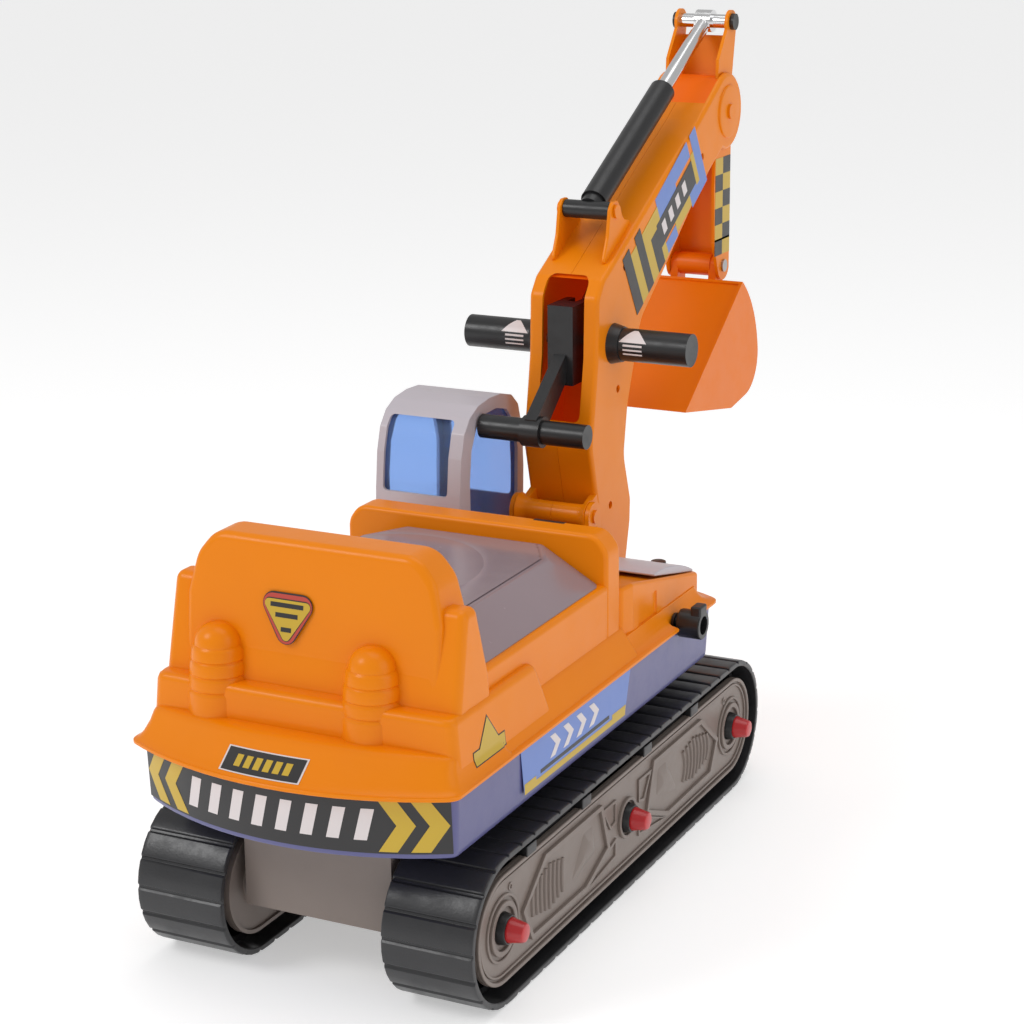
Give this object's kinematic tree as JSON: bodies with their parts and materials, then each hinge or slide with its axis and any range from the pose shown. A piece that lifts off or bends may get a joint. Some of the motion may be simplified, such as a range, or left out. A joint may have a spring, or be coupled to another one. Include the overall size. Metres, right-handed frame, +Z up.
{
  "type": "ride-on toy excavator",
  "caption": "Ride-on toy excavator with belted tracks, a slewing house with seat and cab, and a lever-worked boom, stick and scoop bucket.",
  "frame": {"origin": "on the ground under the middle of the toy's length and width", "axes": "+Z up, +Y forwards along the boom towards the bucket, +X to the driver's right"},
  "size_m": [0.32, 0.8494, 0.673],
  "materials": {
    "orange_plastic": "moulded gloss",
    "bucket_plastic": "moulded gloss",
    "blue_plastic": "moulded gloss",
    "pale_grey_plastic": "moulded satin",
    "mauve_plastic": "moulded satin",
    "clear_blue": "clear tinted plastic",
    "taupe_plastic": "moulded satin",
    "belt_rubber": "moulded satin",
    "black_plastic": "moulded satin",
    "chrome": "polished",
    "steel": "zinc plated",
    "red_rubber": "soft moulded"
  },
  "bodies": {
    "undercarriage": {"chassis_frame": "taupe_plastic", "slew_post": "steel", "belt_left": "belt_rubber", "belt_right": "belt_rubber", "outer_cover_left": "taupe_plastic", "outer_cover_right": "taupe_plastic", "inner_cover_left": "taupe_plastic", "inner_cover_right": "taupe_plastic", "axle_rear": "steel", "axle_middle": "steel", "axle_front": "steel", "hub_caps_left": "red_rubber", "hub_caps_right": "red_rubber", "track_guides_left": "black_plastic", "track_guides_right": "black_plastic"},
    "wheel_left_rear": {"wheel_left_rear": "black_plastic"},
    "wheel_left_middle": {"wheel_left_middle": "black_plastic"},
    "wheel_left_front": {"wheel_left_front": "black_plastic"},
    "wheel_right_rear": {"wheel_right_rear": "black_plastic"},
    "wheel_right_middle": {"wheel_right_middle": "black_plastic"},
    "wheel_right_front": {"wheel_right_front": "black_plastic"},
    "house": {"tray": "blue_plastic", "turntable_ring": "black_plastic", "body_shell": "orange_plastic", "seat": "mauve_plastic", "cab_shell": "pale_grey_plastic", "cab_glazing": "clear_blue", "deck_plate": "pale_grey_plastic", "deck_plug": "black_plastic", "boom_bracket": "orange_plastic", "boom_foot_pin": "orange_plastic"},
    "knob": {"knob": "black_plastic"},
    "boom": {"boom_shell_left": "orange_plastic", "boom_shell_right": "orange_plastic", "stick_pin": "orange_plastic", "ram_pin": "orange_plastic", "peg_shaft": "steel", "peg_left": "black_plastic", "peg_right": "black_plastic", "boom_screws": "steel"},
    "lever": {"control_lever": "black_plastic", "lever_handle_bar": "black_plastic", "link_pin_lever": "steel"},
    "link": {"link_rod": "steel"},
    "stick": {"stick": "orange_plastic", "link_pin_stick": "steel", "top_pin": "chrome", "top_pin_caps": "black_plastic", "bucket_pin": "steel"},
    "ram_barrel": {"ram_barrel": "black_plastic"},
    "ram_rod": {"ram_rod": "chrome"},
    "bucket": {"bucket": "bucket_plastic"}
  },
  "joints": [
    {"name": "wheel_left_rear_spin", "type": "hinge", "parent": "undercarriage", "child": "wheel_left_rear", "pos_m": [-0.1072, -0.32174, 0.0607], "axis": [1, 0, 0], "continuous": true},
    {"name": "wheel_left_middle_spin", "type": "hinge", "parent": "undercarriage", "child": "wheel_left_middle", "pos_m": [-0.1072, -0.09174, 0.0607], "axis": [1, 0, 0], "continuous": true},
    {"name": "wheel_left_front_spin", "type": "hinge", "parent": "undercarriage", "child": "wheel_left_front", "pos_m": [-0.1072, 0.13826, 0.0607], "axis": [1, 0, 0], "continuous": true},
    {"name": "wheel_right_rear_spin", "type": "hinge", "parent": "undercarriage", "child": "wheel_right_rear", "pos_m": [0.1072, -0.32174, 0.0607], "axis": [1, 0, 0], "continuous": true},
    {"name": "wheel_right_middle_spin", "type": "hinge", "parent": "undercarriage", "child": "wheel_right_middle", "pos_m": [0.1072, -0.09174, 0.0607], "axis": [1, 0, 0], "continuous": true},
    {"name": "wheel_right_front_spin", "type": "hinge", "parent": "undercarriage", "child": "wheel_right_front", "pos_m": [0.1072, 0.13826, 0.0607], "axis": [1, 0, 0], "continuous": true},
    {"name": "house_slew", "type": "hinge", "parent": "undercarriage", "child": "house", "pos_m": [0, -0.09174, 0.137], "axis": [0, 0, 1], "continuous": true},
    {"name": "knob_turn", "type": "hinge", "parent": "house", "child": "knob", "pos_m": [0.145, 0.03626, 0.19], "axis": [1, 0, 0], "range_deg": [0, 90]},
    {"name": "boom_lift", "type": "hinge", "parent": "house", "child": "boom", "pos_m": [0, 0.06826, 0.264], "axis": [1, 0, 0], "range_deg": [0, 14]},
    {"name": "stick_swing", "type": "hinge", "parent": "boom", "child": "stick", "pos_m": [0, 0.38826, 0.58], "axis": [1, 0, 0], "range_deg": [-10, 15]},
    {"name": "lever_swing", "type": "hinge", "parent": "boom", "child": "lever", "pos_m": [0, 0.12026, 0.408], "axis": [1, 0, 0], "range_deg": [-10.5, 15.5]},
    {"name": "link_swing", "type": "hinge", "parent": "lever", "child": "link", "pos_m": [0, 0.11626, 0.432], "axis": [1, 0, 0], "range_deg": [-15.5, 10.5]},
    {"name": "ram_barrel_swing", "type": "hinge", "parent": "boom", "child": "ram_barrel", "pos_m": [0, 0.14026, 0.521], "axis": [1, 0, 0], "range_deg": [-3, 4]},
    {"name": "ram_rod_swing", "type": "hinge", "parent": "stick", "child": "ram_rod", "pos_m": [0, 0.40926, 0.662], "axis": [1, 0, 0], "range_deg": [-13.5, 9.5]},
    {"name": "bucket_curl", "type": "hinge", "parent": "stick", "child": "bucket", "pos_m": [0, 0.39526, 0.43], "axis": [1, 0, 0], "range_deg": [0, 35]}
  ],
  "couplings": [
    {"joint": "wheel_left_middle_spin", "follows": "wheel_left_rear_spin", "ratio": 1},
    {"joint": "wheel_left_front_spin", "follows": "wheel_left_rear_spin", "ratio": 1},
    {"joint": "wheel_right_middle_spin", "follows": "wheel_right_rear_spin", "ratio": 1},
    {"joint": "wheel_right_front_spin", "follows": "wheel_right_rear_spin", "ratio": 1},
    {"joint": "lever_swing", "follows": "stick_swing", "ratio": 1},
    {"joint": "link_swing", "follows": "stick_swing", "ratio": -1},
    {"joint": "ram_barrel_swing", "follows": "stick_swing", "ratio": 0.1785},
    {"joint": "ram_rod_swing", "follows": "stick_swing", "ratio": -0.8215}
  ]
}
